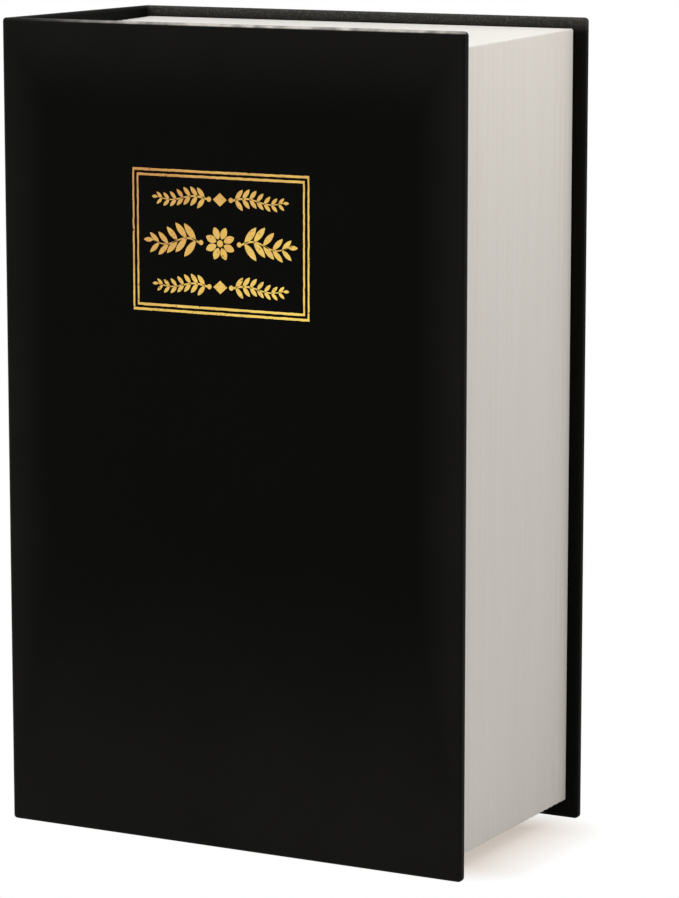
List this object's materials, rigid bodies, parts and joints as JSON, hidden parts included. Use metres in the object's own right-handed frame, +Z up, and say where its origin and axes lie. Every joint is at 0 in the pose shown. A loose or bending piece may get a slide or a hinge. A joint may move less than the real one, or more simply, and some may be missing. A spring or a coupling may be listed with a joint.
{
  "type": "book diversion safe",
  "caption": "Key-locking steel box hidden in a hardback book: leatherette cover on a bending joint, white page frame, pin-hinged lid with cam lock.",
  "frame": {"origin": "middle of the base that the closed book stands on, at the centre of its box in X and Y", "axes": "+Z up from tail to head, +X from the spine to the fore-edge, +Y from the front cover to the back cover"},
  "size_m": [0.113, 0.0616, 0.18],
  "materials": {
    "leatherette": "black embossed leatherette, satin",
    "grey_board": "grey bookbinding board",
    "paper": "matt endpaper",
    "gold_foil": "hot-stamped gold foil",
    "page_plastic": "moulded white plastic, ribbed like page edges",
    "painted_steel": "dark grey-green textured powder coat",
    "zinc_steel": "bright zinc plate",
    "chrome": "polished chrome plate",
    "satin_nickel": "satin nickel plate",
    "brass": "stamped brass",
    "aluminium": "plain aluminium rivet"
  },
  "bodies": {
    "case": {"front_joint_leatherette": "leatherette", "spine_leatherette": "leatherette", "spine_board": "grey_board", "back_cover_leatherette": "leatherette", "back_cover_board": "grey_board", "back_endpaper": "paper", "page_block": "page_plastic", "steel_box": "painted_steel", "box_rivet_1": "aluminium", "box_rivet_2": "aluminium", "box_rivet_3": "aluminium", "box_rivet_4": "aluminium", "strike_plate": "zinc_steel", "box_hinge_leaf": "painted_steel", "hinge_pin": "zinc_steel"},
    "front_cover": {"front_cover_leatherette": "leatherette", "front_cover_board": "grey_board", "front_endpaper": "paper", "title_border_outer": "gold_foil", "title_border_inner": "gold_foil"},
    "lid": {"steel_lid": "painted_steel", "lid_hinge_leaf": "painted_steel", "lock_barrel": "chrome", "lock_washer": "zinc_steel", "lock_nut": "zinc_steel"},
    "lock": {"lock_plug": "satin_nickel", "lock_wafer_1": "brass", "lock_wafer_2": "brass", "lock_wafer_3": "brass", "lock_wafer_4": "brass", "lock_cam": "zinc_steel", "cam_washer": "zinc_steel", "cam_screw": "zinc_steel"}
  },
  "joints": [
    {"name": "front_cover_hinge", "type": "hinge", "parent": "case", "child": "front_cover", "pos_m": [-0.05615, -0.0304, 0.09], "axis": [0, 0, -1], "range_deg": [0, 172], "deforming": ["front_joint_leatherette"]},
    {"name": "steel_lid_hinge", "type": "hinge", "parent": "case", "child": "lid", "pos_m": [-0.0495, -0.02525, 0.09], "axis": [0, 0, -1], "range_deg": [0, 103.2]},
    {"name": "lock_turn", "type": "hinge", "parent": "lid", "child": "lock", "pos_m": [0.0351, -0.018, 0.09], "axis": [0, 1, 0], "range_deg": [0, 90]}
  ],
  "couplings": [
    {"joint": "steel_lid_hinge", "follows": "front_cover_hinge", "ratio": 0.6}
  ]
}
